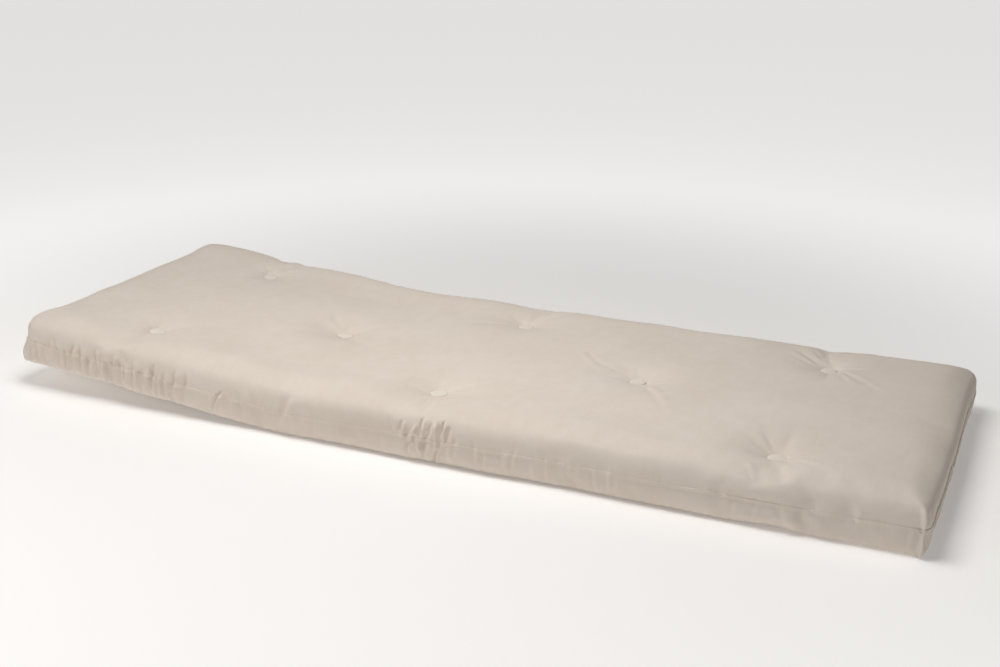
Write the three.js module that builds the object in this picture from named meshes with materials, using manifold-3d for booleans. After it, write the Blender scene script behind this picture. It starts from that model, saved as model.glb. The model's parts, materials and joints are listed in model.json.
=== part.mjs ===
// Tufted single futon mattress. A boxed cotton case in two pans holds five layers of wadding,
// and eight tufts, each two buttons on a twine, pull it together in a 2-1-2-1-2 pattern.
// It folds on two lines across its length, so every piece that crosses a fold line is made in
// three lengths: head, middle and foot. The head third lies raised by a few degrees.
// Millimetres. +X runs to the foot end, +Y to the far long side, +Z up. The origin is on the
// floor, under the middle of the whole outline.
import * as THREE from 'three';
import { RoundedBoxGeometry } from 'three/addons/geometries/RoundedBoxGeometry.js';
import { mergeVertices } from 'three/addons/utils/BufferGeometryUtils.js';
import Module from 'manifold-3d';

// Driving dimensions
const LENGTH = 1900;
const WIDTH = 700;
const THICKNESS = 100;
const EDGE_RADIUS = 26;

const HEAD_FOLD_X = LENGTH / 3;
const FOOT_FOLD_X = (2 * LENGTH) / 3;
const FOLD_AXIS_Z = THICKNESS + 6;
const HEAD_RAISE = THREE.MathUtils.degToRad(5.3);

const CLOTH = 1.5;
const SEAM_HEIGHT = 3;
const SEAM_PROUD = 1.2;

const LAYERS = 5;
const LAYER_GAP = 0.5;

const TUFT_PITCH = 340;
const TUFT_ROW_Y = 220;
const LAST_NEAR_TUFT_Y = 250;
const DIMPLE_DEPTH = 12;
const DIMPLE_RADIUS = 48;
const DIMPLE_FLOOR_RADIUS = 21;
const BUTTON_RADIUS = 17.5;
const BUTTON_HEIGHT = 5;
const TWINE_RADIUS = 1.5;
const TWINE_HOLE_RADIUS = 3;

const GAP = 0.3;
const ROUND_STEPS = 2;
const LATHE_STEPS = 14;
const BEYOND = 50;

const COTTON = { color: 0xd8cfc0, roughness: 0.93, metalness: 0 };
const THREAD = { color: 0xe4dccd, roughness: 0.85, metalness: 0 };
const WADDING = { color: 0xeee9df, roughness: 1, metalness: 0 };
const BUTTON_CLOTH = { color: 0xddd3c3, roughness: 0.9, metalness: 0 };
const TWINE_COTTON = { color: 0xe6dfd0, roughness: 0.8, metalness: 0 };

const wasm = await Module();
wasm.setup();

function toSolid(geometry) {
  geometry.deleteAttribute('normal');
  geometry.deleteAttribute('uv');
  const merged = mergeVertices(geometry, 1e-4);
  return new wasm.Manifold(new wasm.Mesh({
    numProp: 3,
    vertProperties: new Float32Array(merged.attributes.position.array),
    triVerts: new Uint32Array(merged.index.array),
  }));
}

function toGeometry(solid) {
  const { vertProperties, triVerts } = solid.getMesh();
  const indexed = new THREE.BufferGeometry();
  indexed.setAttribute('position', new THREE.BufferAttribute(vertProperties, 3));
  indexed.setIndex(new THREE.BufferAttribute(triVerts, 1));
  const geometry = indexed.toNonIndexed();
  geometry.computeVertexNormals();
  return geometry;
}

function boxSolid(x0, x1, y0, y1, z0, z1) {
  const geometry = new THREE.BoxGeometry(x1 - x0, y1 - y0, z1 - z0);
  geometry.translate((x0 + x1) / 2, (y0 + y1) / 2, (z0 + z1) / 2);
  return toSolid(geometry);
}

// The mattress outline, a rounded block, brought in by `inset` on every side.
function blockSolid(inset) {
  const geometry = new RoundedBoxGeometry(
    LENGTH - 2 * inset, WIDTH - 2 * inset, THICKNESS - 2 * inset,
    ROUND_STEPS, EDGE_RADIUS - inset,
  );
  geometry.translate(LENGTH / 2, 0, THICKNESS / 2);
  return toSolid(geometry);
}

// A solid of revolution about a vertical line, from [radius, height] points.
function turned(points) {
  const profile = points.map(([r, z]) => new THREE.Vector2(r, z));
  return new THREE.LatheGeometry(profile, LATHE_STEPS).rotateX(Math.PI / 2);
}

// --- tufts -----------------------------------------------------------------------------------

// Tufts alternate between two on the outer rows and one on the centre line. The tufts are
// placed by hand, and the last near one stands closer to its side than the rest.
function tuftPlaces() {
  const places = [];
  for (let column = 1; column <= 5; column += 1) {
    const x = LENGTH / 2 + (column - 3) * TUFT_PITCH;
    const nearY = column === 5 ? LAST_NEAR_TUFT_Y : TUFT_ROW_Y;
    const rows = column % 2 === 1 ? { near: -nearY, far: TUFT_ROW_Y } : { centre: 0 };
    for (const [row, y] of Object.entries(rows)) places.push({ name: `${column}_${row}`, x, y });
  }
  return places;
}

// The cone that a tuft pulls into the top face, grown by `wall` outwards and downwards.
function dimple(place, top, wall) {
  const lift = wall > 0 ? -CLOTH / 2 : 1;
  const slope = (DIMPLE_RADIUS - DIMPLE_FLOOR_RADIUS) / DIMPLE_DEPTH;
  const floor = THICKNESS - DIMPLE_DEPTH - wall;
  const mouth = THICKNESS + lift;
  const mouthRadius = DIMPLE_RADIUS + lift * slope + wall * slope;
  const cone = turned([
    [0, floor], [DIMPLE_FLOOR_RADIUS + wall, floor], [mouthRadius, mouth], [0, mouth],
  ]);
  if (!top) {
    cone.translate(0, 0, -THICKNESS / 2).rotateX(Math.PI).translate(0, 0, THICKNESS / 2);
  }
  cone.translate(place.x, place.y, 0);
  return toSolid(cone);
}

function twineHole(place) {
  const hole = new THREE.CylinderGeometry(TWINE_HOLE_RADIUS, TWINE_HOLE_RADIUS, 2 * THICKNESS, 8);
  hole.rotateX(Math.PI / 2).translate(place.x, place.y, THICKNESS / 2);
  return toSolid(hole);
}

function buttonGeometry() {
  return turned([
    [0, 0], [BUTTON_RADIUS - 3, 0], [BUTTON_RADIUS, 1.6], [BUTTON_RADIUS, 3],
    [BUTTON_RADIUS - 3, BUTTON_HEIGHT - 0.5], [0, BUTTON_HEIGHT],
  ]);
}

function tuftParts(place) {
  const floor = DIMPLE_DEPTH - GAP;
  const topButton = buttonGeometry().translate(place.x, place.y, THICKNESS - floor);
  const bottomButton = buttonGeometry().rotateX(Math.PI).translate(place.x, place.y, floor);
  const length = THICKNESS - 2 * DIMPLE_DEPTH;
  const twine = new THREE.CylinderGeometry(TWINE_RADIUS, TWINE_RADIUS, length, 8);
  twine.rotateX(Math.PI / 2).translate(place.x, place.y, THICKNESS / 2);
  return [
    part(`tuft_button_top_${place.name}`, topButton, BUTTON_CLOTH),
    part(`tuft_button_bottom_${place.name}`, bottomButton, BUTTON_CLOTH),
    part(`tuft_twine_${place.name}`, twine, TWINE_COTTON),
  ];
}

// --- case, seam and wadding --------------------------------------------------------------------

const TUFTS = tuftPlaces();

function cutDimples(solid, wall) {
  let cut = solid;
  for (const place of TUFTS) {
    for (const top of [true, false]) cut = cut.subtract(dimple(place, top, wall));
    cut = cut.subtract(twineHole(place));
  }
  return cut;
}

// The whole case: a thin rounded box whose two faces dip to a floor under every button.
function caseSolid() {
  let shell = blockSolid(0).subtract(blockSolid(CLOTH));
  for (const place of TUFTS) {
    for (const top of [true, false]) shell = shell.add(dimple(place, top, CLOTH));
  }
  return cutDimples(shell, 0);
}

// All the wadding, a block just inside the case.
function fillingSolid() {
  return cutDimples(blockSolid(CLOTH + LAYER_GAP), CLOTH + LAYER_GAP);
}

function outline(grow) {
  const radius = EDGE_RADIUS + grow;
  const x0 = -grow;
  const x1 = LENGTH + grow;
  const y = WIDTH / 2 + grow;
  const path = new THREE.Shape();
  path.moveTo(x0 + radius, -y);
  path.lineTo(x1 - radius, -y).absarc(x1 - radius, -y + radius, radius, -Math.PI / 2, 0);
  path.lineTo(x1, y - radius).absarc(x1 - radius, y - radius, radius, 0, Math.PI / 2);
  path.lineTo(x0 + radius, y).absarc(x0 + radius, y - radius, radius, Math.PI / 2, Math.PI);
  path.lineTo(x0, -y + radius).absarc(x0 + radius, -y + radius, radius, Math.PI, 1.5 * Math.PI);
  return path;
}

// The stitched edges of both pans, a narrow band round the middle of the sides.
function seamSolid() {
  const ring = outline(SEAM_PROUD);
  ring.holes.push(outline(-CLOTH));
  const band = new THREE.ExtrudeGeometry(ring, {
    depth: SEAM_HEIGHT, bevelEnabled: false, curveSegments: 3,
  });
  band.translate(0, 0, (THICKNESS - SEAM_HEIGHT) / 2);
  return toSolid(band);
}

const CASE = caseSolid();
const FILLING = fillingSolid();
const SEAM = seamSolid();

function part(name, geometry, material) {
  const mesh = new THREE.Mesh(geometry, new THREE.MeshStandardMaterial(material));
  mesh.name = name;
  return mesh;
}

// Keeps what lies between two stations along the length and two heights.
function lengthOf(solid, x0, x1, z0, z1) {
  return solid.intersect(boxSolid(x0, x1, -WIDTH, WIDTH, z0, z1));
}

// The seam runs round an end in one piece, and along both sides of the middle in two.
function seamParts(section, x0, x1) {
  const runs = lengthOf(SEAM, x0, x1, -BEYOND, THICKNESS + BEYOND).decompose();
  if (runs.length === 1) return [part(`side_seam_${section}`, toGeometry(runs[0]), THREAD)];
  return runs.map((run) => {
    const side = run.boundingBox().min[1] < 0 ? 'near' : 'far';
    return part(`side_seam_${section}_${side}`, toGeometry(run), THREAD);
  });
}

function waddingParts(section, x0, x1) {
  const low = CLOTH + LAYER_GAP;
  const pitch = (THICKNESS - 2 * CLOTH - LAYER_GAP) / LAYERS;
  const parts = [];
  for (let layer = 0; layer < LAYERS; layer += 1) {
    const z0 = low + layer * pitch;
    const slab = lengthOf(FILLING, x0, x1, z0, z0 + pitch - LAYER_GAP);
    parts.push(part(`wadding_${layer + 1}_${section}`, toGeometry(slab), WADDING));
  }
  return parts;
}

// One third of the mattress, from x0 to x1, with the tufts that stand in it.
function sectionParts(section, x0, x1) {
  const seamLow = (THICKNESS - SEAM_HEIGHT) / 2;
  const seamHigh = seamLow + SEAM_HEIGHT;
  const upper = lengthOf(CASE, x0, x1, seamHigh + GAP, THICKNESS + BEYOND);
  const lower = lengthOf(CASE, x0, x1, -BEYOND, seamLow - GAP);
  const group = new THREE.Group();
  group.add(
    part(`cover_top_${section}`, toGeometry(upper), COTTON),
    part(`cover_bottom_${section}`, toGeometry(lower), COTTON),
    ...seamParts(section, x0, x1),
    ...waddingParts(section, x0, x1),
  );
  for (const place of TUFTS.filter(({ x }) => x > x0 && x < x1)) group.add(...tuftParts(place));
  return group;
}

// --- assembly ----------------------------------------------------------------------------------

const head = sectionParts('head', -BEYOND, HEAD_FOLD_X - GAP / 2);
const middle = sectionParts('middle', HEAD_FOLD_X + GAP / 2, FOOT_FOLD_X - GAP / 2);
const foot = sectionParts('foot', FOOT_FOLD_X + GAP / 2, LENGTH + BEYOND);

// The head third turns about the head fold's axis, which lies just above the top face.
const raisedHead = new THREE.Group();
raisedHead.position.set(HEAD_FOLD_X, 0, FOLD_AXIS_Z);
raisedHead.rotation.y = HEAD_RAISE;
head.position.set(-HEAD_FOLD_X, 0, -FOLD_AXIS_Z);
raisedHead.add(head);

const mattress = new THREE.Group();
mattress.name = 'futon_mattress';
mattress.add(raisedHead, middle, foot);
mattress.updateMatrixWorld(true);
const extent = new THREE.Box3().setFromObject(mattress, true);
mattress.position.x = -(extent.min.x + extent.max.x) / 2;

export default mattress;
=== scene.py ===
"""A tufted futon mattress: a cotton drill case over layered wadding, with covered buttons on twine.

Everything is modelled lying flat, and then the head third is raised to its place at rest.
"""
import json
import math

import bmesh
import bpy
import numpy as np
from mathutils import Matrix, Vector
from mathutils.kdtree import KDTree


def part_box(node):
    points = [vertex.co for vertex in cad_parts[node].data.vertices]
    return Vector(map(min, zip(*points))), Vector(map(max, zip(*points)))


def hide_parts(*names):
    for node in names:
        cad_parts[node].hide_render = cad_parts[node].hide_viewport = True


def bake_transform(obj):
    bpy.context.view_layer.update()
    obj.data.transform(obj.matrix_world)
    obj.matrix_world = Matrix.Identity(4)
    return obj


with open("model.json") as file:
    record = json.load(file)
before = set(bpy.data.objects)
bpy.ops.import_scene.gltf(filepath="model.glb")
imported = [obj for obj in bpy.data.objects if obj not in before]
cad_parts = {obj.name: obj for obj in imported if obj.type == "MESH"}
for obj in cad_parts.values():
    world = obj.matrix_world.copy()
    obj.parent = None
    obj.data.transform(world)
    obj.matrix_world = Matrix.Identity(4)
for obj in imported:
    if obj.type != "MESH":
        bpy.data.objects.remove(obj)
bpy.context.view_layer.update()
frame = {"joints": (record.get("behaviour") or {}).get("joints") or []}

JOINTS = {joint["name"]: joint for joint in frame["joints"]}
HEAD_FOLD = Vector(JOINTS["head_fold"]["pos_m"])
FOOT_FOLD = Vector(JOINTS["foot_fold"]["pos_m"])
RAISE = -math.radians(JOINTS["head_fold"]["range_deg"][0])  # how far the head third is up at rest
HEAD_BAND, FOOT_BAND = 0.12, 0.08  # the head third bends this far to both sides of its fold line; the foot band only sets a span that bend_at_fold works out and leaves unused

THIRD = FOOT_FOLD.x - HEAD_FOLD.x
LENGTH = 3 * THIRD
HEAD_END = HEAD_FOLD.x - THIRD
FOOT_END = FOOT_FOLD.x + THIRD
MIDDLE = HEAD_END + LENGTH / 2
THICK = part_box("cover_top_middle")[1].z
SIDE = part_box("cover_top_middle")[1].y  # half the width
SEAM_Z = THICK / 2

HEAD_CORNER, FOOT_CORNER = 0.040, 0.013  # radius of the upright corners
TOP_RIM, LOW_RIM = 0.024, 0.010  # radius of the rims round the top and the bottom face
FOOT_BULGE = 0.019  # how far the wadding pushes the foot end out
HEAD_LEAN = 0.021  # how far the head end leans out low down
UNROLL_RADIUS = 0.028  # of the rims once they are stuffed, for the cut map
CELL = 0.012  # mesh cell of the simulated cloth
MOST_SWELL = 0.007  # the most that air pressure may move the cloth
CLOTH = 0.0012  # thickness of the cloth
SEAM_HEIGHT = 0.007
SEAM_PROUD = 0.0010  # how far the turned edges stand out from the pans
STITCH_LENGTH = 0.0026
STITCH_PITCH = 0.0038
THREAD_RADIUS = 0.00035
PLY_RADIUS = 0.0009  # of each of the two plies of a tuft's twine
PLY_LAY = 0.006  # length of twine in which the plies go once round each other

BUTTON_LOW, BUTTON_HIGH = (corner.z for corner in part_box("tuft_button_top_3_near"))
BUTTON_RADIUS = 0.0175
DIMPLE_FLOOR = BUTTON_LOW - 0.0004
HOLLOW_REACH = 0.130  # how far the soft hollow round a tuft reaches
PIT_WALL = 0.009  # width of the steep wall of the pit under a button
PIT_RISE = 0.0065  # height of that wall in the stuffed case

BUNCH_PLACE = 0.975  # of the bunch of gathers on the near side, from the head end
BUNCH_REACH = 0.065

WADDING_LAYERS = 5
WADDING_INSET = 0.009  # room between the wadding and the CAD outline of the case, all round
RIM_ROOM = 0.040  # radius within which the layers keep inside the rims


def column_of(name):
    """The column that a tuft stands in, from 1 at the head end to 5 at the foot end."""
    return int(name[0])


def tuft_places():
    """Name and flat place of each tuft, in a 2-1-2-1-2 pattern."""
    # the twines of the raised third lean, so their flat place comes from the even pitch
    third_low, third_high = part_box("tuft_twine_3_far")
    pitch = (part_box("tuft_twine_5_far")[0].x - third_low.x) / 2
    centre = (third_low.x + third_high.x) / 2
    places = {}
    for name in ("1_near", "1_far", "2_centre", "3_near", "3_far", "4_centre", "5_near", "5_far"):
        low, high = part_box(f"tuft_twine_{name}")
        places[name] = (centre + (column_of(name) - 3) * pitch, (low.y + high.y) / 2)
    return places


TUFTS = tuft_places()


# ---------------------------------------------------------------- camera, light and floor

def add_camera():
    """A view from the near side, past the foot end."""
    down, aside = 19.4, 24.05  # degrees below level, and from straight across towards the head end
    data = bpy.data.cameras.new("camera")
    data.sensor_width = 36
    data.lens = 47.76
    data.clip_end = 1000
    camera = bpy.data.objects.new("camera", data)
    camera.location = (1.1045, -2.3954, 1.0751)
    camera.rotation_euler = (math.radians(90 - down), 0, math.radians(aside))
    bpy.context.scene.collection.objects.link(camera)
    bpy.context.scene.camera = camera


def add_area_light(name, place, aim, size, power, colour):
    """A soft rectangular light at a place, turned towards its aim."""
    data = bpy.data.lights.new(name, "AREA")
    data.shape = "RECTANGLE"
    data.size, data.size_y = size
    data.energy = power
    data.color = colour
    light = bpy.data.objects.new(name, data)
    light.location = place
    light.rotation_euler = (Vector(aim) - Vector(place)).to_track_quat("-Z", "Y").to_euler()
    bpy.context.scene.collection.objects.link(light)


def add_lights():
    """A broad light over mid-length, a low one before the head end, weak sun and surround."""
    data = bpy.data.lights.new("key", "SUN")
    data.energy = 0.35
    data.angle = math.radians(45)
    data.color = (1.0, 0.99, 0.98)
    key = bpy.data.objects.new("key", data)
    key.rotation_euler = Vector((0.55, -0.12, -1.0)).to_track_quat("-Z", "Y").to_euler()
    bpy.context.scene.collection.objects.link(key)
    add_area_light("middle", place=(-0.08, -0.45, 1.9), aim=(0.0, -0.1, 0.0), size=(1.2, 0.8),
                   power=24, colour=(1.0, 0.985, 0.97))
    add_area_light("front", place=(-1.5, -1.9, 1.0), aim=(-0.4, -0.35, 0.05), size=(0.8, 0.6),
                   power=6.0, colour=(1.0, 0.975, 0.945))
    world = bpy.data.worlds.new("surround")
    bpy.context.scene.world = world
    world.use_nodes = True
    background = world.node_tree.nodes["Background"]
    background.inputs["Color"].default_value = (1.0, 0.97, 0.94, 1)
    background.inputs["Strength"].default_value = 0.12
    bpy.context.scene.view_settings.view_transform = "Standard"


# ---------------------------------------------------------------- small tools for meshes

def only(piece):
    """Makes a piece the only selected one, and the active one."""
    bpy.ops.object.select_all(action="DESELECT")
    piece.select_set(True)
    bpy.context.view_layer.objects.active = piece


def points_of(piece):
    """The places of a piece's points, one row each."""
    flat = np.empty(len(piece.data.vertices) * 3, np.float32)
    piece.data.vertices.foreach_get("co", flat)
    return flat.reshape(-1, 3).astype(float)


def normals_of(piece):
    """The outward direction at each of a piece's points, one row each."""
    flat = np.empty(len(piece.data.vertices) * 3, np.float32)
    piece.data.vertex_normals.foreach_get("vector", flat)
    return flat.reshape(-1, 3).astype(float)


def move_points(piece, points):
    """Puts a piece's points at new places."""
    piece.data.vertices.foreach_set("co", points.astype(np.float32).ravel())
    piece.data.update()


def pick(piece, kind, chosen):
    """Opens a piece for editing, with only those of its edges or faces selected that are chosen."""
    only(piece)
    bpy.ops.object.mode_set(mode="EDIT")
    bpy.ops.mesh.select_mode(type=kind)
    bpy.ops.mesh.select_all(action="DESELECT")
    mesh = bmesh.from_edit_mesh(piece.data)
    for item in mesh.edges if kind == "EDGE" else mesh.faces:
        if chosen(item):
            item.select_set(True)
    bmesh.update_edit_mesh(piece.data)


def done():
    """Closes the piece that is open for editing."""
    bpy.ops.object.mode_set(mode="OBJECT")


def add_modifier(piece, kind, **settings):
    """Adds a modifier and applies it."""
    only(piece)
    modifier = piece.modifiers.new(kind.lower(), kind)
    for name, value in settings.items():
        setattr(modifier, name, value)
    bpy.ops.object.modifier_apply(modifier=modifier.name)


def copy_of(piece, name):
    """A copy of a piece with a mesh of its own."""
    double = piece.copy()
    double.data = piece.data.copy()
    double.name = double.data.name = name
    bpy.context.scene.collection.objects.link(double)
    return double


def add_block(name, low, high):
    """A plain block between two corners."""
    middle = [(a + b) / 2 for a, b in zip(low, high)]
    sides = [b - a for a, b in zip(low, high)]
    bpy.ops.mesh.primitive_cube_add(size=1, location=middle, scale=sides)
    block = bpy.context.object
    block.name = block.data.name = name
    only(block)
    bpy.ops.object.transform_apply(location=True, rotation=False, scale=True)
    return block


def round_block(block, top_rim, low_rim):
    """Rounds a block's upright edges, more at the head end, and its top and bottom rims."""
    for way, corner in ((-1, HEAD_CORNER), (1, FOOT_CORNER)):
        def upright(edge):
            start, end = (vertex.co for vertex in edge.verts)
            return abs(start.z - end.z) > 1e-4 and (start.x - MIDDLE) * way > 0

        pick(block, "EDGE", upright)
        bpy.ops.mesh.bevel(offset=corner, segments=5, affect="EDGES")
        done()
    for way, rim in ((1, top_rim), (-1, low_rim)):
        def level_rim(edge):
            rises = [face.normal.z * way for face in edge.link_faces]
            return max(rises) > 0.9 and abs(min(rises)) < 0.1

        pick(block, "EDGE", level_rim)
        bpy.ops.mesh.bevel(offset=rim, segments=5, affect="EDGES")
        done()


def remesh(piece, cell):
    """Gives a piece an even mesh of square cells."""
    only(piece)
    piece.data.remesh_voxel_size = cell
    bpy.ops.object.voxel_remesh()


def smooth_step(t):
    """0 up to 0, 1 from 1 on, smooth in between."""
    t = np.clip(t, 0, 1)
    return t * t * (3 - 2 * t)


# ---------------------------------------------------------------- the soft shape

def hollow_depth(x, y):
    """How deep the tufts pull a face in: a wide soft hollow, and a small pit under the button."""
    depth = np.zeros_like(x)
    full = THICK - DIMPLE_FLOOR
    for tuft_x, tuft_y in TUFTS.values():
        distance = np.hypot(x - tuft_x, y - tuft_y)
        wide = 0.55 * full * (1 - smooth_step(distance / HOLLOW_REACH)) ** 1.6
        pit = 0.45 * full * (1 - smooth_step((distance - BUTTON_RADIUS + 0.004) / PIT_WALL))
        depth = np.maximum(depth, wide + pit)
    return depth


def line_distance(u, v, line):
    """Distance to the side of a line from (u0, v0) to (u1, v1), and the share of its length passed."""
    u0, v0, u1, v1 = line
    length = math.hypot(u1 - u0, v1 - v0)
    du, dv = (u1 - u0) / length, (v1 - v0) / length
    along = ((u - u0) * du + (v - v0) * dv) / length
    across = (v - v0) * du - (u - u0) * dv
    return across, along


def crease(u, v, line, width, depth, bow=0.0):
    """A thin valley with a soft ridge beside it, along a line that bows to the side."""
    across, along = line_distance(u, v, line)
    across = across - bow * 4 * along * (1 - along)
    fade = smooth_step(along / 0.25) * smooth_step((1 - along) / 0.35)
    valley = np.exp(-((across / width) ** 2))
    ridge = np.exp(-(((across - 2.0 * width) / (1.4 * width)) ** 2))
    return depth * fade * (0.75 * ridge - valley)


def undulation(u, v, seed, pitch, count=9):
    """A sum of slow waves in all directions, between about -1 and 1."""
    draw = np.random.default_rng(seed)
    total = np.zeros_like(u)
    for _ in range(count):
        angle = draw.uniform(0, 2 * math.pi)
        wave = draw.uniform(0.7, 1.5) * pitch
        phase = draw.uniform(0, 2 * math.pi)
        total += np.sin(2 * math.pi * (u * math.cos(angle) + v * math.sin(angle)) / wave + phase)
    return total / math.sqrt(2 * count)


def top_creases(x, y):
    """The creases that run out from the buttons over the top face."""
    draw = np.random.default_rng(11)
    height = np.zeros_like(x)
    for tuft_x, tuft_y in TUFTS.values():
        for turn in range(7):
            angle = (turn + draw.uniform(-0.35, 0.35)) * 2 * math.pi / 7
            reach = draw.uniform(0.045, 0.085)
            line = (tuft_x + 0.018 * math.cos(angle), tuft_y + 0.018 * math.sin(angle),
                    tuft_x + reach * math.cos(angle), tuft_y + reach * math.sin(angle))
            height += crease(x, y, line, draw.uniform(0.0035, 0.0055), draw.uniform(0.0003, 0.0007))
    column_1 = HEAD_END + 0.27
    long_creases = [  # from (x, y), to (x, y), width and depth
        (0.362, -0.036, 0.442, -0.158, 0.006, 0.0020),
        (0.270, 0.010, 0.190, 0.102, 0.006, 0.0020),
        (0.300, 0.014, 0.235, 0.052, 0.005, 0.0012),
        (0.662, 0.236, 0.590, 0.288, 0.006, 0.0017),
        (0.655, 0.222, 0.580, 0.250, 0.005, 0.0008),
        (0.668, 0.250, 0.625, 0.318, 0.005, 0.0011),
        (0.705, 0.200, 0.800, 0.100, 0.006, 0.0016),
        (0.700, 0.190, 0.742, 0.110, 0.005, 0.0011),
        (0.664, -0.220, 0.624, -0.115, 0.006, 0.0008),
        (0.702, -0.268, 0.800, -0.318, 0.006, 0.0012),
        (0.010, -0.245, 0.030, -0.345, 0.006, 0.0022),
        (-0.010, -0.245, -0.030, -0.340, 0.006, 0.0016),
        (column_1 + 0.022, -0.170, column_1 + 0.034, 0.010, 0.010, 0.0010),
        (column_1 + 0.026, 0.030, column_1 + 0.014, 0.180, 0.010, 0.0008),
        (column_1 + 0.005, 0.250, column_1 + 0.035, 0.345, 0.007, 0.0018),
        (0.002, 0.245, 0.040, 0.345, 0.007, 0.0022),
        (0.025, 0.250, 0.110, 0.320, 0.006, 0.0014),
        (-0.030, 0.205, -0.110, 0.150, 0.006, 0.0014),
        (-0.310, -0.020, -0.250, -0.090, 0.008, 0.0008),
        (-0.365, 0.020, -0.430, 0.100, 0.008, 0.0007),
        (0.628, -0.312, 0.662, -0.352, 0.004, 0.0016),
    ]
    for *line, width, depth in long_creases:
        height += crease(x, y, line, width, depth, bow=0.004)
    return height


def gathers(u, z, seed, places, height, depth):
    """Upright gathers along a side, which reach from low on the side to different heights."""
    draw = np.random.default_rng(seed)
    total = np.zeros_like(u)
    for place in places:
        top = draw.uniform(*height)
        line = (place + draw.uniform(-0.008, 0.008), top, place + draw.uniform(-0.004, 0.004), 0.001)
        total += crease(u, z, line, draw.uniform(0.0034, 0.0052), draw.uniform(*depth),
                        bow=draw.uniform(-0.004, 0.004))
    return total


def spread(seed, start, end, pitch):
    """Places from start to end, unevenly spaced about a pitch."""
    draw = np.random.default_rng(seed)
    places = [start]
    while places[-1] < end:
        places.append(places[-1] + pitch * draw.uniform(0.55, 1.5))
    return places


def near_side_folds(x, z):
    """The folds of the near long side: dense gathers at the head end and a bunch at mid-length."""
    runs = [  # seed, start and end past the head end, pitch, range of heights, range of depths
        (3, 0.030, 0.43, 0.014, (0.050, 0.084), (0.0042, 0.0070)),
        (5, 0.45, 0.88, 0.045, (0.05, 0.09), (0.0006, 0.0016)),
        (7, 1.08, 1.33, 0.026, (0.05, 0.09), (0.0008, 0.0018)),
        (9, 1.36, 1.87, 0.060, (0.04, 0.08), (0.0004, 0.0009)),
    ]
    total = np.zeros_like(x)
    for seed, start, end, pitch, height, depth in runs:
        places = spread(seed + 1, HEAD_END + start, HEAD_END + end, pitch)
        total += gathers(x, z, seed, places, height, depth)
    slanting = [  # from (x past the head end, z) to another, then width, depth and bow
        (0.905, 0.088, 0.915, 0.050, 0.0045, 0.0014, 0.002),
        (0.936, 0.084, 0.928, 0.058, 0.0032, 0.0026, 0.001),
        (0.944, 0.075, 0.931, 0.045, 0.0034, -0.0024, 0.002),
        (0.968, 0.080, 0.948, 0.044, 0.0036, -0.0028, 0.002),
        (0.952, 0.046, 0.947, 0.014, 0.0042, 0.0032, -0.002),
        (0.961, 0.072, 0.973, 0.020, 0.0038, -0.0030, 0.002),
        (0.978, 0.092, 0.973, 0.064, 0.0032, 0.0028, 0.001),
        (0.984, 0.076, 0.971, 0.024, 0.0036, -0.0028, -0.002),
        (0.987, 0.052, 0.974, 0.008, 0.0040, 0.0034, 0.003),
        (0.997, 0.088, 0.986, 0.050, 0.0034, 0.0032, 0.002),
        (1.006, 0.092, 1.009, 0.026, 0.0038, -0.0030, 0.001),
        (1.023, 0.094, 1.016, 0.060, 0.0032, 0.0028, 0.001),
        (1.029, 0.088, 1.020, 0.048, 0.0036, -0.0028, 0.001),
        (1.012, 0.040, 0.997, 0.000, 0.0026, 0.0038, 0.001),
        (1.026, 0.048, 1.027, 0.016, 0.0050, 0.0022, 0.000),
        (1.048, 0.072, 1.040, 0.024, 0.0055, 0.0014, 0.002),
        (0.530, 0.068, 0.503, 0.002, 0.0032, 0.0036, -0.006),
        (0.676, 0.098, 0.650, 0.012, 0.0070, 0.0026, 0.004),
        (0.690, 0.094, 0.668, 0.030, 0.0060, 0.0018, -0.003),
        (1.655, 0.050, 1.668, 0.006, 0.0060, 0.0018, 0.002),
    ]
    for *line, width, depth, bow in slanting:
        line = (line[0] + HEAD_END, line[1], line[2] + HEAD_END, line[3])
        total += crease(x, z, line, width, 1.3 * depth, bow)
    return total


def corner_darts(x, y, z):
    """The dart of each boxed corner: a narrow ridge down the corner, drawn in to both sides of it."""
    in_from_end = LENGTH / 2 - np.abs(x - MIDDLE)
    in_from_side = SIDE - np.abs(y)
    at_corner = (in_from_end < HEAD_CORNER) & (in_from_side < HEAD_CORNER)
    skew = (in_from_side - in_from_end) / math.sqrt(2)
    dart = at_corner * (np.exp(-((skew / 0.0035) ** 2)) - 0.35 * np.exp(-((skew / 0.011) ** 2)))
    height = 0.0034 * dart * smooth_step((THICK - 0.004 - z) / 0.02)
    # at the near foot corner the dart stands up more, with a notch on the end face beside it
    near_foot = at_corner & (x > MIDDLE) & (y < 0)
    ridge = np.exp(-(((skew - 0.001) / 0.0030) ** 2)) * smooth_step((THICK - 0.008 - z) / 0.012)
    notch = np.exp(-(((skew - 0.0085) / 0.0036) ** 2) - ((z - 0.074) / 0.012) ** 2)
    return height + near_foot * (0.0028 * ridge - 0.0050 * notch)


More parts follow.
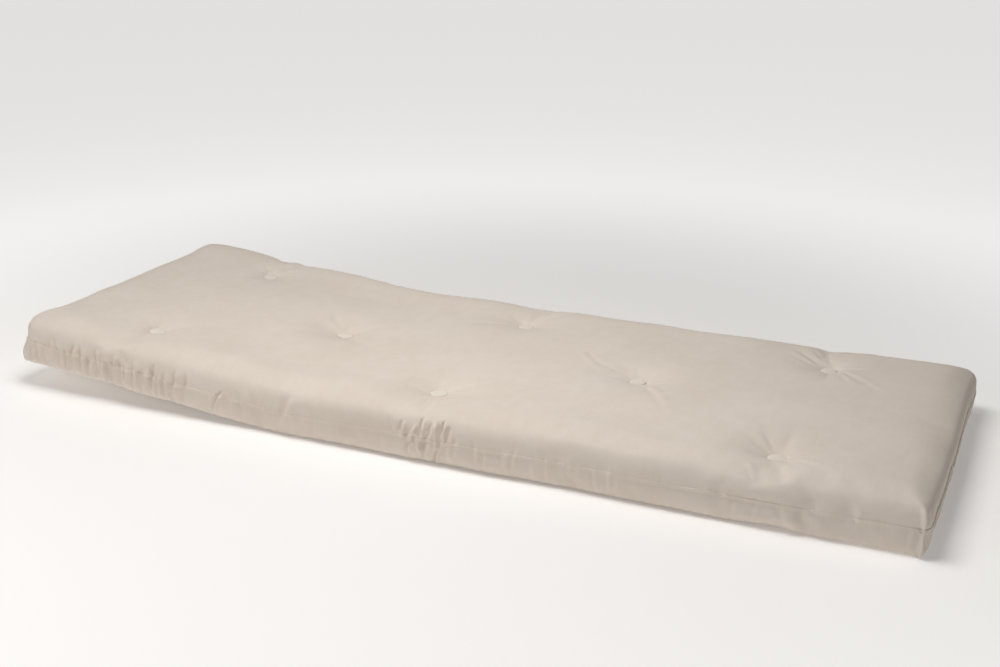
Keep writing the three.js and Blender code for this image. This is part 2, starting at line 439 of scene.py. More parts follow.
def shape_case(points, normals):
    """Creases, gathers, corner darts and a soft unevenness, laid over the stuffed case."""
    x, y, z = points.T
    facing = {
        "top": smooth_step((normals[:, 2] - 0.25) / 0.6),
        "bottom": smooth_step((-normals[:, 2] - 0.25) / 0.6),
        "near": smooth_step((-normals[:, 1] - 0.2) / 0.6),
        "far": smooth_step((normals[:, 1] - 0.2) / 0.6),
        "head": smooth_step((-normals[:, 0] - 0.2) / 0.6),
        "foot": smooth_step((normals[:, 0] - 0.2) / 0.6),
    }
    out = np.zeros(len(points))
    out += facing["top"] * (top_creases(x, y) + 0.0012 * undulation(x, y, 21, 0.22))
    out += facing["bottom"] * 0.5 * top_creases(x, y)
    out += facing["near"] * (near_side_folds(x, z) + 0.0012 * undulation(x, z, 22, 0.16))
    far = gathers(x, z, 31, spread(32, HEAD_END + 0.03, FOOT_END - 0.03, 0.034), (0.04, 0.09),
                  (0.0006, 0.0018))
    out += facing["far"] * (far + 0.0014 * undulation(x, z, 23, 0.16))
    for end, seed in (("head", 41), ("foot", 45)):
        folds = gathers(y, z, seed, spread(seed + 1, -SIDE + 0.03, SIDE - 0.03, 0.045), (0.04, 0.085),
                        (0.0005, 0.0014))
        out += facing[end] * (folds + 0.0014 * undulation(y, z, seed + 2, 0.15))
    # the case is drawn in a little along the seam, and bulges above and below it
    side = np.maximum.reduce([facing[name] for name in ("near", "far", "head", "foot")])
    out += side * 0.0016 * np.cos(2 * math.pi * (z - SEAM_Z) / 0.075 + math.pi) * (z < THICK) * (z > 0)
    out += corner_darts(x, y, z)
    shaped = points + normals * out[:, None]
    shaped[:, 2] = np.maximum(shaped[:, 2], 0)
    return shaped


def fill_out(points):
    """Where the wadding pushes the case out: along the rims between the tufts, and at both ends."""
    x, y, z = points.T
    filled = points.copy()
    columns = sorted({place[0] for name, place in TUFTS.items() if "centre" not in name})
    between = np.ones_like(x)
    for column in columns:
        between *= 1 - np.exp(-(((x - column) / 0.10) ** 2))
    near_rim = np.exp(-(((np.abs(y) - 0.30) / 0.06) ** 2))
    head_share = 1 - smooth_step((x - MIDDLE + 0.1) / 0.5)
    rise = (0.003 + 0.005 * head_share) * between * near_rim
    filled[:, 2] += rise * smooth_step((z - SEAM_Z) / (THICK - SEAM_Z))
    at_foot = smooth_step((x - (FOOT_END - 0.08)) / 0.08)
    middle_height = 1 - ((z - SEAM_Z) / THICK) ** 2 * 2
    across = 1 - 0.45 * (y / SIDE) ** 2 + 0.5 * np.exp(-(((y - SIDE) / 0.09) ** 2))
    filled[:, 0] += FOOT_BULGE * at_foot * middle_height * across
    # the head end leans: its lower part stands out, and its upper part draws back a little
    at_head = smooth_step((HEAD_END + 0.10 - x) / 0.10)
    filled[:, 0] -= at_head * np.maximum(HEAD_LEAN * np.tanh((0.062 - z) / 0.034), -0.003)
    return filled


def press_tufts(points):
    """Pulls the top and bottom faces in at the tufts."""
    x, y, z = points.T
    depth = hollow_depth(x, y)
    pressed = points.copy()
    share = 2 * z / THICK - 1  # 1 on the top face, -1 on the bottom face
    pressed[:, 2] = z - depth * np.sign(share) * smooth_step((np.abs(share) - 0.1) / 0.8)
    return pressed


def inflate(piece):
    """Fills the case with air pressure while the tufts hold it, and keeps the swelling small."""
    start = points_of(piece)
    held = piece.vertex_groups.new(name="held")
    for x, y in TUFTS.values():
        near = np.hypot(start[:, 0] - x, start[:, 1] - y) < BUTTON_RADIUS + 0.004
        held.add([int(i) for i in np.nonzero(near)[0]], 1.0, "REPLACE")
    seam = np.abs(start[:, 2] - SEAM_Z) < 0.008
    held.add([int(i) for i in np.nonzero(seam)[0]], 0.25, "ADD")
    cloth = piece.modifiers.new("cloth", "CLOTH")
    cloth.settings.quality = 5
    cloth.settings.mass = 0.3
    cloth.settings.tension_stiffness = 12
    cloth.settings.compression_stiffness = 6
    cloth.settings.shear_stiffness = 4
    cloth.settings.bending_stiffness = 0.15
    cloth.settings.vertex_group_mass = "held"
    cloth.settings.shrink_min = -0.006
    cloth.settings.use_pressure = True
    cloth.settings.uniform_pressure_force = 4
    cloth.settings.effector_weights.gravity = 0
    for step in range(1, 21):
        bpy.context.scene.frame_set(step)
    only(piece)
    bpy.ops.object.modifier_apply(modifier=cloth.name)
    piece.vertex_groups.clear()
    bpy.context.scene.frame_set(1)
    moved = points_of(piece) - start
    size = np.linalg.norm(moved, axis=1, keepdims=True) + 1e-9
    move_points(piece, start + moved / size * MOST_SWELL * np.tanh(size / MOST_SWELL))


def raise_head(points):
    """Bends the head third up to its place at rest."""
    angle = RAISE * smooth_step((HEAD_FOLD.x + HEAD_BAND - points[:, 0]) / (2 * HEAD_BAND))
    x, z = points[:, 0] - HEAD_FOLD.x, points[:, 2] - HEAD_FOLD.z
    bent = points.copy()
    bent[:, 0] = HEAD_FOLD.x + x * np.cos(angle) + z * np.sin(angle)
    bent[:, 2] = np.maximum(HEAD_FOLD.z - x * np.sin(angle) + z * np.cos(angle), 0)
    return bent


def bend_at_fold(piece, half, whole_at=None):
    """Bakes a piece's transform into its mesh; the piece is not bent.

    The span of a bend over the fold line of its half is worked out, and not used. For a small
    piece, which would turn as a whole by what the cloth turns at whole_at, its place along the
    mattress, that span runs across the mattress, over a very long way.
    """
    fold, reach = {"head": (HEAD_FOLD, -HEAD_BAND), "foot": (FOOT_FOLD, FOOT_BAND)}[half]
    start, end = fold + Vector((reach, 0, 0)), fold - Vector((reach, 0, 0))
    if whole_at is not None:
        share = min(max((whole_at - start.x) / (end.x - start.x), 0), 1)
        far = Vector((0, 200, 0))
        start, end = fold - far * share, fold + far * (1 - share)
    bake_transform(piece)


def finish_piece(piece, half, material, smooth=True, whole_at=None):
    """Gives a piece its material and slot, and bakes its transform into its mesh."""
    if smooth:
        only(piece)
        bpy.ops.object.shade_smooth()
    piece.data.materials.clear()
    piece.data.materials.append(material)
    bend_at_fold(piece, half, whole_at)


# ---------------------------------------------------------------- materials

class Socket:
    """A socket in a material's nodes, with which sums can be written."""

    def __init__(self, tree, socket=None):
        self.tree = tree
        self.socket = socket

    def node(self, kind, settings=None, output=0, **values):
        """Adds a node of a kind, makes its settings, fills or links its sockets, gives an output.

        A socket is named by its name with _ for spaces, or by _ and its number.
        """
        made = self.tree.nodes.new("ShaderNode" + kind)
        for name, value in (settings or {}).items():
            setattr(made, name, value)
        for name, value in values.items():
            key = int(name[1:]) if name[1:].isdigit() else name.replace("_", " ")
            target = made.inputs[key]
            if isinstance(value, Socket):
                self.tree.links.new(value.socket, target)
            else:
                target.default_value = value
        return Socket(self.tree, made.outputs[output] if len(made.outputs) else None)

    def output(self, index):
        """Another output of the node that this socket belongs to."""
        return Socket(self.tree, self.socket.node.outputs[index])

    def sum(self, operation, first, second=0.0):
        """The result of a Math node on two values."""
        return self.node("Math", {"operation": operation}, _0=first, _1=second)

    def __add__(self, other):
        return self.sum("ADD", self, other)

    def __radd__(self, other):
        return self.sum("ADD", other, self)

    def __mul__(self, other):
        return self.sum("MULTIPLY", self, other)

    def __rmul__(self, other):
        return self.sum("MULTIPLY", other, self)

    def __truediv__(self, other):
        return self.sum("DIVIDE", self, other)

    def wave(self):
        """Sine of 2 pi times the value, brought to 0 to 1."""
        return 0.5 + 0.5 * self.sum("SINE", self * (2 * math.pi))

    def between(self, low, high):
        """0 below low, 1 above high, smooth in between."""
        return self.node("MapRange", {"interpolation_type": "SMOOTHSTEP"}, Value=self,
                         From_Min=low, From_Max=high)

    def blend(self, first, second):
        """Mixes two colours by the value."""
        return self.node("Mix", {"data_type": "RGBA"}, 2, _0=self, _6=first, _7=second)


def new_material(name):
    """An empty material, and a socket to write its sums with."""
    material = bpy.data.materials.new(name)
    material.use_nodes = True
    material.node_tree.nodes.clear()
    return material, Socket(material.node_tree)


def finish_material(maths, height, strength, distance, **values):
    """The shader with its bump, linked to the output."""
    bump = maths.node("Bump", Height=height, Strength=strength, Distance=distance)
    shader = maths.node("BsdfPrincipled", Normal=bump, **values)
    maths.node("OutputMaterial", Surface=shader)


def stretched_noise(maths, place, size, detail=2.0, rough=0.5):
    """Noise on a place that is first scaled by size along each axis."""
    scaled = maths.node("VectorMath", {"operation": "MULTIPLY"}, _0=place, _1=size)
    return maths.node("TexNoise", Vector=scaled, Scale=1.0, Detail=detail, Roughness=rough)


def drill_cloth(name, pale, deep, wale=0.0013):
    """Unbleached cotton drill: slanting wales, uneven threads, small flecks, a soft bloom."""
    material, maths = new_material(name)
    place = maths.node("UVMap", {"uv_map": "cut"})
    split = place.node("SeparateXYZ", Vector=place)
    along = split
    across = split.output(1)
    wander = stretched_noise(maths, place, (90, 90, 1), 2.0) * 0.6
    wales = ((along + across * 0.8) / wale + wander).wave()
    weft = (across / (wale * 0.55) + wander).wave()
    warp_slubs = stretched_noise(maths, place, (14, 900, 1), 2.0, 0.6)
    weft_slubs = stretched_noise(maths, place, (900, 14, 1), 2.0, 0.6)
    blotches = stretched_noise(maths, place, (5, 5, 1), 3.0, 0.55)
    handling = stretched_noise(maths, place, (38, 30, 1), 4.0, 0.6)
    flecks = stretched_noise(maths, place, (420, 260, 1), 1.0).between(0.735, 0.79)
    tone = 0.42 * blotches + 0.30 * handling + 0.14 * warp_slubs + 0.14 * weft_slubs
    ground = tone.between(0.33, 0.67).blend((*deep, 1), (*pale, 1))
    threads = (0.5 * wales + 0.5 * weft_slubs).between(0.1, 0.9)
    woven = 0.93 + 0.07 * threads
    shaded = maths.node("Mix", {"data_type": "RGBA", "blend_type": "MULTIPLY"}, 2, _0=1.0, _6=ground,
                        _7=maths.node("CombineColor", Red=woven, Green=woven, Blue=woven))
    coloured = (0.45 * flecks).blend(shaded, (0.30, 0.21, 0.13, 1))
    height = 0.45 * wales + 0.15 * weft + 0.5 * warp_slubs + 0.5 * weft_slubs + 1.2 * handling
    finish_material(maths, height, 0.5, 0.00012, Base_Color=coloured,
                    Roughness=0.88 + 0.1 * weft_slubs, Sheen_Weight=0.06, Sheen_Roughness=0.7,
                    Specular_IOR_Level=0.18)
    return material


def thread_material(name, pale, deep, pitch):
    """Twisted cotton: slanting strands round the cord, on object coordinates."""
    material, maths = new_material(name)
    place = maths.node("TexCoord", output=3)
    split = maths.node("SeparateXYZ", Vector=place)
    slant = split + split.output(1) * 0.9 + split.output(2)
    strands = (slant / pitch).wave()
    fuzz = stretched_noise(maths, place, (900, 900, 900), 2.0)
    colour = (0.6 * strands + 0.4 * fuzz).blend((*deep, 1), (*pale, 1))
    finish_material(maths, strands + 0.4 * fuzz, 0.5, 0.0003, Base_Color=colour,
                    Roughness=0.62 + 0.2 * fuzz, Sheen_Weight=0.15)
    return material


def felt_material(name, pale, deep):
    """Carded cotton felt: matted fibres, small clumps and a few seed specks."""
    material, maths = new_material(name)
    place = maths.node("TexCoord", output=3)
    clumps = stretched_noise(maths, place, (55, 55, 90), 5.0, 0.65)
    fibres = stretched_noise(maths, place, (900, 300, 900), 3.0, 0.7)
    specks = stretched_noise(maths, place, (260, 260, 260), 1.0).between(0.74, 0.78)
    ground = (0.6 * clumps + 0.4 * fibres).between(0.35, 0.65).blend((*deep, 1), (*pale, 1))
    colour = (0.35 * specks).blend(ground, (0.33, 0.24, 0.16, 1))
    finish_material(maths, clumps + 0.4 * fibres, 0.6, 0.002, Base_Color=colour,
                    Roughness=0.9 + 0.08 * fibres, Sheen_Weight=0.3)
    return material


def floor_material():
    """Smooth pale paper, which glows a little round the object and more further away."""
    material, maths = new_material("studio_floor")
    place = maths.node("TexCoord", output=3)
    grain = stretched_noise(maths, place, (300, 300, 300), 2.0)
    colour = grain.blend((0.93, 0.915, 0.90, 1), (0.95, 0.935, 0.92, 1))
    distance = maths.node("VectorMath", {"operation": "LENGTH"}, output=1, _0=place)
    glow = distance.between(0.5, 2.2).blend((0.12, 0.12, 0.12, 1), (0.55, 0.55, 0.55, 1))
    finish_material(maths, grain, 0.05, 0.0005, Base_Color=colour, Roughness=0.8,
                    Emission_Color=glow, Emission_Strength=1.0)
    return material


# ---------------------------------------------------------------- the case

def unrolled(place, edge, drop):
    """How far from the middle of a pan a point was before the pan was folded down over its edge."""
    radius = UNROLL_RADIUS
    out, down = radius - (edge - np.abs(place)), radius - drop
    round_part = edge - radius + radius * np.arctan2(np.maximum(out, 0), np.maximum(down, 1e-6))
    side_part = edge - radius + radius * math.pi / 2 - down
    whole = np.where(out <= 0, np.abs(place), np.where(down <= 0, side_part, round_part))
    return np.sign(place) * whole


def lay_cut_map(piece):
    """Gives the cloth a UV map in metres, as the pans were cut: each side folds down from a face."""
    mesh = piece.data
    points = points_of(piece)
    corners = np.empty(len(mesh.loops), np.int32)
    mesh.loops.foreach_get("vertex_index", corners)
    totals = np.empty(len(mesh.polygons), np.int32)
    mesh.polygons.foreach_get("loop_total", totals)
    centres = np.empty(len(mesh.polygons) * 3, np.float32)
    mesh.polygons.foreach_get("center", centres)
    facing = np.empty(len(mesh.polygons) * 3, np.float32)
    mesh.polygons.foreach_get("normal", facing)
    centres, facing = centres.reshape(-1, 3), facing.reshape(-1, 3)
    rim = 0.045  # a face closer to the edge than this may belong to a side
    reach_x = np.abs(centres[:, 0] - MIDDLE) - LENGTH / 2
    reach_y = np.abs(centres[:, 1]) - SIDE
    faces_side = np.abs(facing[:, 1]) > np.abs(facing[:, 0])
    faces_end = np.abs(facing[:, 0]) > np.abs(facing[:, 1])
    by_length = (reach_y > -rim) & ((reach_y >= reach_x) | faces_side)
    by_length &= ~(faces_end & (reach_x > -rim))
    by_end = (reach_x > -rim) & ~by_length
    long_side, end_side = np.repeat(by_length, totals), np.repeat(by_end, totals)
    x, y, z = points[corners].T
    drop = np.minimum(np.abs(THICK - z), np.abs(z))
    u = np.where(end_side, MIDDLE + unrolled(x - MIDDLE, LENGTH / 2, drop), x)
    v = np.where(long_side, unrolled(y, SIDE, drop), y)
    cut = mesh.uv_layers.new(name="cut")
    cut.data.foreach_set("uv", np.stack([u, v], axis=1).astype(np.float32).ravel())


def cut_through(piece, point, normal):
    """Adds a line of edges right round a piece, where a plane passes through it."""
    only(piece)
    bpy.ops.object.mode_set(mode="EDIT")
    bpy.ops.mesh.select_all(action="SELECT")
    bpy.ops.mesh.bisect(plane_co=point, plane_no=normal)
    done()


def refine(piece):
    """Halves the mesh cells of the sides and round the tufts, and once more at the bunch."""
    tuft_reach = 0.075

    def gathered(face):
        centre = face.calc_center_median()
        if abs(face.normal.z) < 0.8:
            return True
        return any(math.hypot(centre.x - x, centre.y - y) < tuft_reach for x, y in TUFTS.values())

    def at_bunch(face):
        centre = face.calc_center_median()
        return face.normal.y < -0.5 and abs(centre.x - HEAD_END - BUNCH_PLACE) < BUNCH_REACH

    for chosen in (gathered, at_bunch):
        pick(piece, "FACE", chosen)
        bpy.ops.mesh.subdivide(number_cuts=1, smoothness=0)
        done()


def press_pits(points):
    """Presses the small pits under the buttons again, which the inflated face has lost."""
    x, y, z = points.T
    floor = np.ones_like(z)
    for tuft_x, tuft_y in TUFTS.values():
        distance = np.hypot(x - tuft_x, y - tuft_y)
        rise = smooth_step((distance - BUTTON_RADIUS + 0.0035) / PIT_WALL)
        floor = np.where(rise > 0.999, floor, DIMPLE_FLOOR + PIT_RISE * rise)
    pressed = points.copy()
    pressed[:, 2] = np.where(z > SEAM_Z, np.minimum(z, floor), np.maximum(z, THICK - floor))
    return pressed


def stuffed_case():
    """The whole case as one closed skin, lying flat: rounded, tufted, inflated and creased."""
    case = add_block("case", (HEAD_END, -SIDE, 0), (FOOT_END, SIDE, THICK))
    round_block(case, TOP_RIM, LOW_RIM)
    remesh(case, CELL)
    move_points(case, press_tufts(fill_out(points_of(case))))
    inflate(case)
    add_modifier(case, "SUBSURF", levels=1, render_levels=1)
    refine(case)
    move_points(case, press_pits(points_of(case)))
    only(case)
    bpy.ops.object.shade_smooth()
    move_points(case, shape_case(points_of(case), normals_of(case)))
    for offset in (-SEAM_HEIGHT / 2, SEAM_HEIGHT / 2):
        cut_through(case, (0, 0, SEAM_Z + offset), (0, 0, 1))
    cut_through(case, (MIDDLE, 0, 0), (1, 0, 0))
    lay_cut_map(case)
    return case


def keep_part(case, name, low, high, head):
    """A copy of the case that keeps only what lies between two heights, and one half's length."""
    part = copy_of(case, name)

    def outside(face):
        centre = face.calc_center_median()
        wrong_half = (centre.x > MIDDLE) if head else (centre.x < MIDDLE)
        return wrong_half or not low < centre.z < high

    pick(part, "FACE", outside)
    bpy.ops.mesh.delete(type="FACE")
    done()
    return part


def shade_like(piece, tree, normals):
    """Gives the outer skin of a piece the shading of the uncut case, so that no joint shows."""
    points, own = points_of(piece), normals_of(piece)
    chosen = own.copy()
    for index, point in enumerate(points):
        _, nearest, distance = tree.find(point)
        if distance < 1e-5:
            chosen[index] = normals[nearest]
    piece.data.normals_split_custom_set_from_vertices([tuple(normal) for normal in chosen])


def make_case(materials):
    """Upper and lower pan and the felled seam between them, each in a head and a foot half."""
    case = stuffed_case()
    flat_bands = {
        "upper_pan": (SEAM_Z + SEAM_HEIGHT / 2, 1.0),
        "lower_pan": (-1.0, SEAM_Z - SEAM_HEIGHT / 2),
        "felled_seam": (SEAM_Z - SEAM_HEIGHT / 2, SEAM_Z + SEAM_HEIGHT / 2),
    }
    parts = {}
    for name, (low, high) in flat_bands.items():
        for half in ("head", "foot"):
            parts[name, half] = keep_part(case, f"{name}_{half}", low, high, half == "head")
    stitch = stitch_pattern()
    for half in ("head", "foot"):
        rows = sew(parts["felled_seam", half], f"seam_stitches_{half}", stitch)
        move_points(rows, raise_head(points_of(rows)))
        finish_piece(rows, half, materials["thread"])
    bpy.data.objects.remove(stitch)
    move_points(case, raise_head(points_of(case)))
    points, normals = points_of(case), normals_of(case)
    tree = KDTree(len(points))
    for index, point in enumerate(points):
        tree.insert(point, index)
    tree.balance()
    for (name, half), part in parts.items():
        move_points(part, raise_head(points_of(part)))
        if name == "felled_seam":
            thickness = SEAM_PROUD + CLOTH
            add_modifier(part, "SOLIDIFY", thickness=thickness, offset=1 - 2 * CLOTH / thickness)
            add_modifier(part, "BEVEL", width=0.0005, segments=2, limit_method="ANGLE",
                         angle_limit=math.radians(50))
            only(part)
            bpy.ops.object.shade_smooth()
            bpy.ops.object.shade_smooth_by_angle(angle=math.radians(60))
            finish_piece(part, half, materials["seam"], smooth=False)
        else:
            add_modifier(part, "SOLIDIFY", thickness=CLOTH, offset=-1)
            only(part)
            bpy.ops.object.shade_smooth()
            shade_like(part, tree, normals)
            finish_piece(part, half, materials["drill"], smooth=False)
    bpy.data.objects.remove(case)
    return parts


# ---------------------------------------------------------------- buttons, twine and wadding

def button_pattern():
    """A cloth-covered button, face up, with its back on z = 0 and its edge gathered underneath."""
    height = BUTTON_HIGH - BUTTON_LOW
    bpy.ops.mesh.primitive_cylinder_add(vertices=48, radius=BUTTON_RADIUS - 0.0006, depth=height,
                                        location=(0, 0, height / 2))
    button = bpy.context.object
    button.name = button.data.name = "button"
    only(button)
    bpy.ops.object.transform_apply(location=True, rotation=False, scale=True)
    # the front is crowned and the back is hollowed, each in three inset steps
    for way, shares, rises in ((1, (0.25, 0.35, 0.4), (0.10, 0.10, 0.05)),
                               (-1, (0.25, 0.4, 0.4), (0.05, 0.12, 0.10))):
        def end_face(face):
            return face.normal.z * way > 0.95 and len(face.verts) > 10

        for share, rise in zip(shares, rises):
            pick(button, "FACE", end_face)
            bpy.ops.mesh.inset(thickness=share * BUTTON_RADIUS * 0.6)
            bpy.ops.transform.translate(value=(0, 0, rise * height))
            done()
    add_modifier(button, "SUBSURF", levels=2, render_levels=2)
    points = points_of(button)
    x, y, z = points.T
    angle, radius = np.arctan2(y, x), np.hypot(x, y)
    under = smooth_step((0.6 * height - z) / (0.5 * height))
    under = under * smooth_step((radius - 0.4 * BUTTON_RADIUS) / 0.004)
    pleats = 22
    pleat = 1 + 0.018 * under * np.cos(pleats * angle)
    points[:, 0] *= pleat
    points[:, 1] *= pleat
    low, high = points[:, 2].min(), points[:, 2].max()
    points[:, 2] = (points[:, 2] - low) * height / (high - low)
    move_points(button, points)
    cut = button.data.uv_layers.active or button.data.uv_layers.new(name="cut")
    cut.name = "cut"
    corners = np.empty(len(button.data.loops), np.int32)
    button.data.loops.foreach_get("vertex_index", corners)
    x, y, z = points[corners].T
    grow = 1 + np.maximum(0, height - z) / np.maximum(np.hypot(x, y), 0.004)
    cut.data.foreach_set("uv", np.stack([x * grow, y * grow], axis=1).astype(np.float32).ravel())
    return button


def twine_pattern(low, high):
    """Two plies twisted round each other, from low to high."""
    turns = round((high - low) / PLY_LAY)
    bpy.ops.mesh.primitive_circle_add(vertices=8, radius=PLY_RADIUS, fill_type="NOTHING",
                                      location=(PLY_RADIUS, 0, low), rotation=(math.pi / 2, 0, 0))
    twine = bpy.context.object
    twine.name = twine.data.name = "twine"
    only(twine)
    bpy.ops.object.transform_apply(location=True, rotation=True, scale=True)
    add_modifier(twine, "SCREW", angle=2 * math.pi, screw_offset=(high - low) / turns, iterations=turns,
                 steps=10, render_steps=10, use_smooth_shade=True, use_merge_vertices=True)
    pick(twine, "EDGE", lambda edge: edge.is_boundary)
    bpy.ops.mesh.edge_face_add()
    done()
    other = copy_of(twine, "ply")
    only(other)
    bpy.ops.object.mode_set(mode="EDIT")
    bpy.ops.mesh.select_all(action="SELECT")
    bpy.ops.transform.rotate(value=math.pi, orient_axis="Z", center_override=(0, 0, 0))
    done()
    twine.select_set(True)
    bpy.context.view_layer.objects.active = twine
    bpy.ops.object.join()
    bpy.ops.object.mode_set(mode="EDIT")
    bpy.ops.mesh.select_all(action="SELECT")
    bpy.ops.mesh.normals_make_consistent(inside=False)
    done()
    return twine


def make_tufts(materials):
    """A button on each face and the twine between them, at each tuft."""
    button = button_pattern()
    twine = twine_pattern(THICK - BUTTON_LOW + 0.0005, BUTTON_LOW - 0.0005)
    for index, (name, (x, y)) in enumerate(TUFTS.items()):
        half = "head" if column_of(name) <= 3 else "foot"
        for face in ("top", "bottom"):
            piece = copy_of(button, f"button_{face}_{name}")
            points = points_of(piece)
            turn = 0.7 * index + (2.0 if face == "bottom" else 0.0)
            around = np.array([[math.cos(turn), -math.sin(turn)], [math.sin(turn), math.cos(turn)]])
            points[:, :2] = points[:, :2] @ around.T
            if face == "top":
                points += (x, y, BUTTON_LOW)
            else:
                points[:, 1] *= -1
                points[:, 2] *= -1
                points += (x, y, THICK - BUTTON_LOW)
            move_points(piece, raise_head(points))
            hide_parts(f"tuft_button_{face}_{name}")
            finish_piece(piece, half, materials["button"], whole_at=x)
        piece = copy_of(twine, f"twine_{name}")
        move_points(piece, raise_head(points_of(piece) + (x, y, 0)))
        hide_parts(f"tuft_twine_{name}")
        finish_piece(piece, half, materials["twine"], whole_at=x)
    for pattern in (button, twine):
        bpy.data.objects.remove(pattern)


def make_wadding(materials):
    """Five felted layers, each a soft-edged slab in a head and a foot half."""
    gap, cell = 0.0006, 0.009
    low_face, high_face = 0.0045, THICK - 0.0055
    step = (high_face - low_face) / WADDING_LAYERS
    for layer in range(1, WADDING_LAYERS + 1):
        low = low_face + (layer - 1) * step + gap / 2
        slab = add_block(f"wadding_layer_{layer}", (HEAD_END + WADDING_INSET, -SIDE + WADDING_INSET, low),
                         (FOOT_END - WADDING_INSET, SIDE - WADDING_INSET, low + step - gap))
        round_block(slab, step * 0.35, step * 0.35)
        remesh(slab, cell)
        points = points_of(slab)
        x, y, z = points.T
        depth = hollow_depth(x, y) + 0.0006
        inner = smooth_step((SIDE - WADDING_INSET - np.abs(y)) / 0.02)  # 0 at the ragged edge
        soft = 0.0005 * undulation(x, y, 60 + layer, 0.05) * inner
        points[:, 2] = THICK / 2 + (z - THICK / 2) * (1 - 2 * depth / THICK) + soft * 0.3
        ragged = 0.0012 * undulation(x, y, 70 + layer, 0.03) * (1 - inner)
        points[:, 1] -= np.sign(y) * np.abs(ragged)
        # the layers near the top and the bottom are shorter and narrower, to fit inside the rims
        drop = np.clip(RIM_ROOM - np.minimum(THICK - z, z), 0, RIM_ROOM * 0.98)
        room = WADDING_INSET + RIM_ROOM - np.sqrt(RIM_ROOM ** 2 - drop ** 2)
        points[:, 0] = np.clip(points[:, 0], HEAD_END + room, FOOT_END - room)
        points[:, 1] = np.clip(points[:, 1], -SIDE + room, SIDE - room)
        move_points(slab, points)
        cut_through(slab, (MIDDLE, 0, 0), (1, 0, 0))
        for half in ("head", "foot"):
            part = keep_part(slab, f"wadding_{layer}_{half}_half", -1, 1, half == "head")
            pick(part, "EDGE", lambda edge: edge.is_boundary)
            bpy.ops.mesh.edge_face_add()
            done()
            move_points(part, raise_head(points_of(part)))
            thirds = ("head",) if half == "head" else ("foot", "middle")
            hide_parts(*(f"wadding_{layer}_{third}" for third in thirds))
            finish_piece(part, half, materials["felt"])
        bpy.data.objects.remove(slab)


def stitch_pattern():
    """One stitch of thread, lying along X with its top towards Z."""
    bpy.ops.mesh.primitive_uv_sphere_add(segments=6, ring_count=5, radius=THREAD_RADIUS,
                                         location=(0, 0, 0), rotation=(0, math.pi / 2, 0))
    stitch = bpy.context.object
    only(stitch)
    bpy.ops.object.transform_apply(location=True, rotation=True, scale=True)
    points = points_of(stitch)
    reach = STITCH_LENGTH / 2 - THREAD_RADIUS
    points[:, 0] += np.sign(np.round(points[:, 0], 6)) * reach
    points[:, 2] -= 0.9 * THREAD_RADIUS * (np.abs(points[:, 0]) / (STITCH_LENGTH / 2)) ** 4
    move_points(stitch, points)
    return stitch


def seam_lines(band):
    """The upper and lower edge of a flat seam band, as points and outward normals in order round it."""
    points, normals = points_of(band), normals_of(band)
    turn = np.arctan2(points[:, 1], np.abs(points[:, 0] - MIDDLE))
    lines = []
    for height in (SEAM_Z + SEAM_HEIGHT / 2, SEAM_Z - SEAM_HEIGHT / 2):
        on_line = np.nonzero(np.abs(points[:, 2] - height) < 1e-5)[0]
        order = on_line[np.argsort(turn[on_line])]
        lines.append((points[order], normals[order]))
    return lines


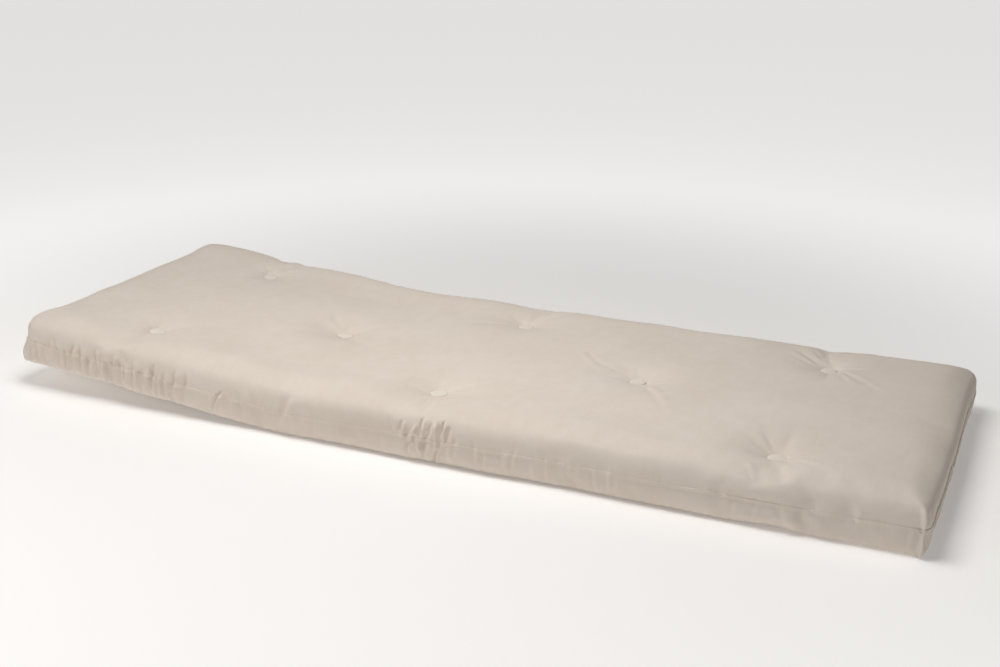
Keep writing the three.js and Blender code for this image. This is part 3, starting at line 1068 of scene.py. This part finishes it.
def sew(band, name, stitch):
    """Two rows of stitches along a seam band that still lies flat."""
    (upper, upper_normals), (lower, lower_normals) = seam_lines(band)
    pattern = points_of(stitch)
    faces = [tuple(face.vertices) for face in stitch.data.polygons]
    all_points, all_faces = [], []

    def spaced(line, values, places):
        """Values given along a line, read at places that are shares of its length."""
        along = np.concatenate([[0], np.cumsum(np.linalg.norm(np.diff(line, axis=0), axis=1))])
        share = along / along[-1]
        return np.stack([np.interp(places, share, values[:, axis]) for axis in range(3)], axis=1)

    length = np.linalg.norm(np.diff(upper, axis=0), axis=1).sum()
    count = int(length / STITCH_PITCH)
    for row_share in (0.80, 0.20):  # how high each row runs on the band
        places = (np.arange(count) + 0.5) / count
        step = 0.3 / count
        centre = row_share * spaced(upper, upper, places) + (1 - row_share) * spaced(lower, lower, places)
        ahead = spaced(upper, upper, places + step) - spaced(upper, upper, places - step)
        ahead /= np.linalg.norm(ahead, axis=1, keepdims=True)
        out = spaced(upper, upper_normals, places) + spaced(lower, lower_normals, places)
        out -= ahead * np.sum(out * ahead, axis=1, keepdims=True)
        out /= np.linalg.norm(out, axis=1, keepdims=True)
        side = np.cross(out, ahead)
        centre += out * (SEAM_PROUD + 0.3 * THREAD_RADIUS)
        placed = (centre[:, None] + pattern[None, :, :1] * ahead[:, None]
                  + pattern[None, :, 1:2] * side[:, None] + pattern[None, :, 2:] * out[:, None])
        for stitch_points in placed:
            base = len(all_points) * len(pattern)
            all_points.append(stitch_points)
            all_faces.extend(tuple(index + base for index in face) for face in faces)
    mesh = bpy.data.meshes.new(name)
    mesh.from_pydata(np.concatenate(all_points).tolist(), [], all_faces)
    row = bpy.data.objects.new(name, mesh)
    bpy.context.scene.collection.objects.link(row)
    return row


def add_floor():
    """A floor that reaches past the horizon of the lowest views."""
    bpy.ops.mesh.primitive_plane_add(size=600, location=(0, 0, -0.0005))
    floor = bpy.context.object
    floor.name = floor.data.name = "studio_floor"
    floor.data.materials.append(floor_material())


def main():
    """Makes the camera, the mattress, the lights and the floor."""
    add_camera()
    bpy.ops.object.select_all(action="DESELECT")
    materials = {
        "drill": drill_cloth("cotton_drill", (0.855, 0.77, 0.685), (0.795, 0.705, 0.615)),
        "seam": drill_cloth("cotton_drill_seam", (0.87, 0.785, 0.695), (0.81, 0.72, 0.625)),
        "button": drill_cloth("cotton_drill_button", (0.89, 0.825, 0.735), (0.83, 0.76, 0.665), 0.0010),
        "thread": thread_material("cotton_thread", (0.90, 0.85, 0.76), (0.72, 0.65, 0.55), 0.0008),
        "twine": thread_material("cotton_twine", (0.84, 0.78, 0.66), (0.62, 0.54, 0.42), 0.0012),
        "felt": felt_material("cotton_felt", (0.87, 0.83, 0.76), (0.76, 0.71, 0.63)),
    }
    parts = make_case(materials)
    for third in ("head", "middle", "foot"):
        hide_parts(f"cover_top_{third}")
        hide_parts(f"cover_bottom_{third}")
    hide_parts("side_seam_head", "side_seam_middle_near")
    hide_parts("side_seam_foot", "side_seam_middle_far")
    make_tufts(materials)
    make_wadding(materials)
    add_lights()
    add_floor()


main()
